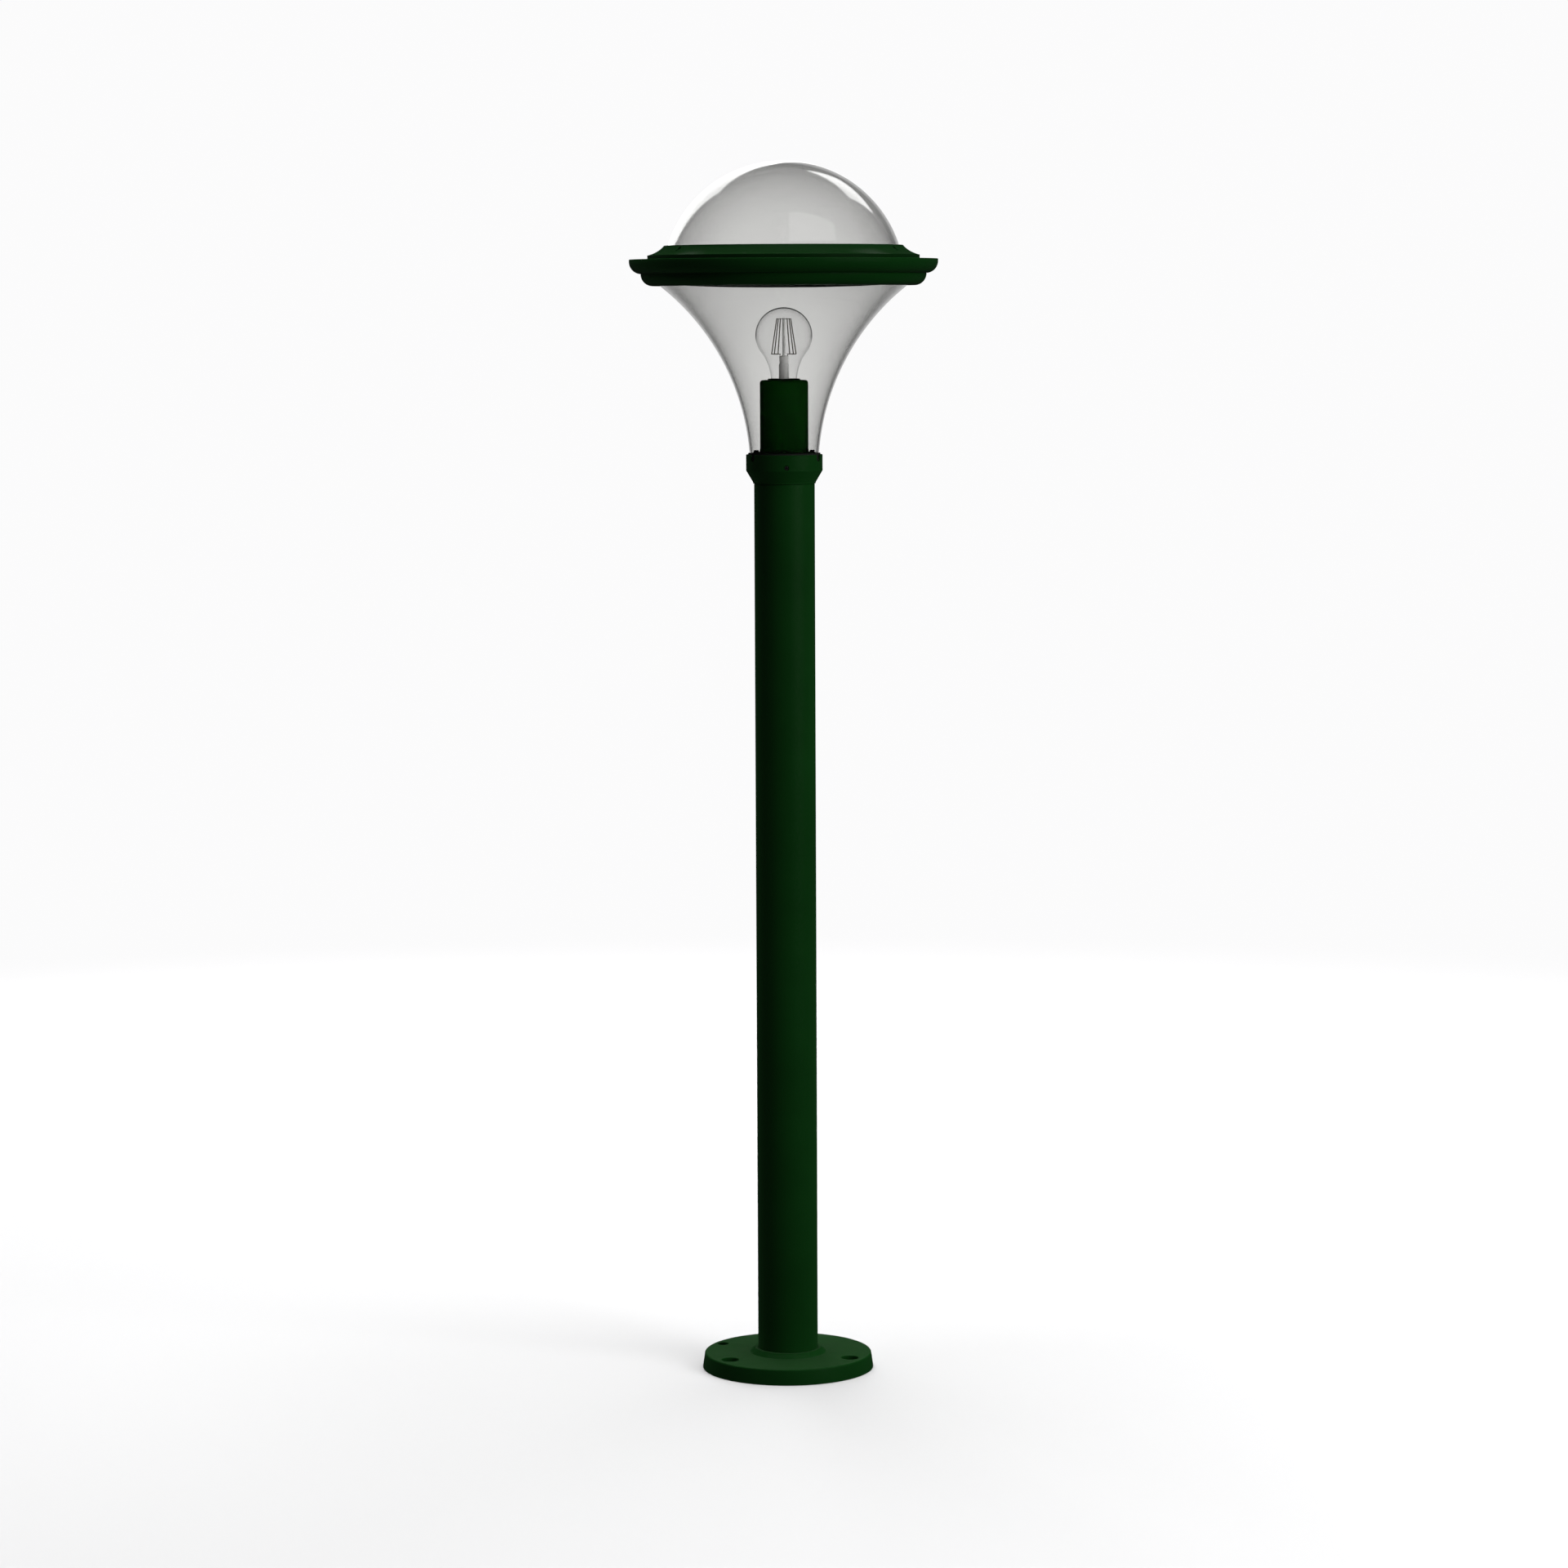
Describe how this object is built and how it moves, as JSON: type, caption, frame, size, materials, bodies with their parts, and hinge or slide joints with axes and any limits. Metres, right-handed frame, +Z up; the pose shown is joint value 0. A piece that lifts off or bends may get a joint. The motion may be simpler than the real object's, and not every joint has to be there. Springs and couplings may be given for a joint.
{
  "type": "bollard lamp",
  "caption": "Slim path bollard lamp: round cast foot, straight post, neck collar, clear trumpet diffuser with moulded rings and a clear dome over a filament bulb.",
  "frame": {"origin": "centre of the foot's underside", "axes": "+Z up along the post, -Y to the front; one fixing hole is at the back, on +Y"},
  "size_m": [0.3042, 0.3042, 1.2055],
  "materials": {
    "paint_green": "satin dark green paint on cast and drawn metal",
    "shade_clear": "polished clear moulded plastic",
    "bulb_glass": "clear blown glass",
    "rubber_black": "matt moulded rubber",
    "steel_stainless": "plain stainless steel",
    "steel_plated": "bright plated steel",
    "brass": "plain brass",
    "phenolic_black": "dark moulded heat-resistant plastic",
    "nylon_white": "natural white nylon",
    "insulation_brown": "brown wire insulation",
    "insulation_blue": "blue wire insulation",
    "filament_yellow": "pale yellow coated filament on thin wire supports"
  },
  "bodies": {
    "post": {"base_flange": "paint_green", "pole_tube": "paint_green", "neck_collar": "paint_green", "holder_plate": "paint_green", "holder_cover": "paint_green", "cable_bush": "rubber_black", "spigot_oring": "rubber_black", "neck_gasket": "rubber_black", "collar_screw_left": "steel_stainless", "collar_screw_right": "steel_stainless", "plate_screw_left": "steel_stainless", "plate_screw_right": "steel_stainless", "cover_screw": "steel_stainless", "stem_nipple": "steel_plated", "nipple_nut_upper": "steel_plated", "nipple_nut_lower": "steel_plated", "terminal_tray": "steel_plated", "terminal_screw_1": "steel_plated", "terminal_screw_2": "steel_plated", "earth_screw": "brass", "thread_shell": "brass", "centre_contact": "brass", "holder_body": "phenolic_black", "terminal_block": "nylon_white", "lead_live": "insulation_brown", "lead_neutral": "insulation_blue"},
    "head": {"trumpet": "shade_clear", "trumpet_seal": "rubber_black", "gallery_ring": "paint_green", "crown_ring": "paint_green", "crown_screw_1": "steel_stainless", "crown_screw_2": "steel_stainless", "crown_screw_3": "steel_stainless", "dome_seal": "rubber_black"},
    "dome": {"dome": "shade_clear"},
    "bulb": {"bulb_cap": "steel_plated", "bulb_insulator": "phenolic_black", "bulb_tip": "steel_plated", "bulb_globe": "bulb_glass", "bulb_stem": "bulb_glass", "filament_cage": "filament_yellow"},
    "neck_screw_1": {"neck_screw_1": "steel_stainless"},
    "dome_screw_1": {"dome_screw_1": "steel_stainless"},
    "neck_screw_2": {"neck_screw_2": "steel_stainless"},
    "dome_screw_2": {"dome_screw_2": "steel_stainless"},
    "neck_screw_3": {"neck_screw_3": "steel_stainless"},
    "dome_screw_3": {"dome_screw_3": "steel_stainless"}
  },
  "joints": [
    {"name": "head_lift", "type": "slide", "parent": "post", "child": "head", "axis": [0, 0, 1], "range_m": [0, 0.17]},
    {"name": "dome_lift", "type": "slide", "parent": "head", "child": "dome", "axis": [0, 0, 1], "range_m": [0, 0.04]},
    {"name": "bulb_lift", "type": "slide", "parent": "post", "child": "bulb", "axis": [0, 0, 1], "range_m": [0, 0.03]},
    {"name": "neck_screw_1_out", "type": "slide", "parent": "post", "child": "neck_screw_1", "axis": [0.866, 0.5, 0], "range_m": [0, 0.003]},
    {"name": "neck_screw_2_out", "type": "slide", "parent": "post", "child": "neck_screw_2", "axis": [-0.866, 0.5, 0], "range_m": [0, 0.003]},
    {"name": "neck_screw_3_out", "type": "slide", "parent": "post", "child": "neck_screw_3", "axis": [0, -1, 0], "range_m": [0, 0.003]},
    {"name": "dome_screw_1_out", "type": "slide", "parent": "head", "child": "dome_screw_1", "axis": [0, 1, 0], "range_m": [0, 0.0025]},
    {"name": "dome_screw_2_out", "type": "slide", "parent": "head", "child": "dome_screw_2", "axis": [-0.866, -0.5, 0], "range_m": [0, 0.0025]},
    {"name": "dome_screw_3_out", "type": "slide", "parent": "head", "child": "dome_screw_3", "axis": [0.866, -0.5, 0], "range_m": [0, 0.0025]}
  ]
}
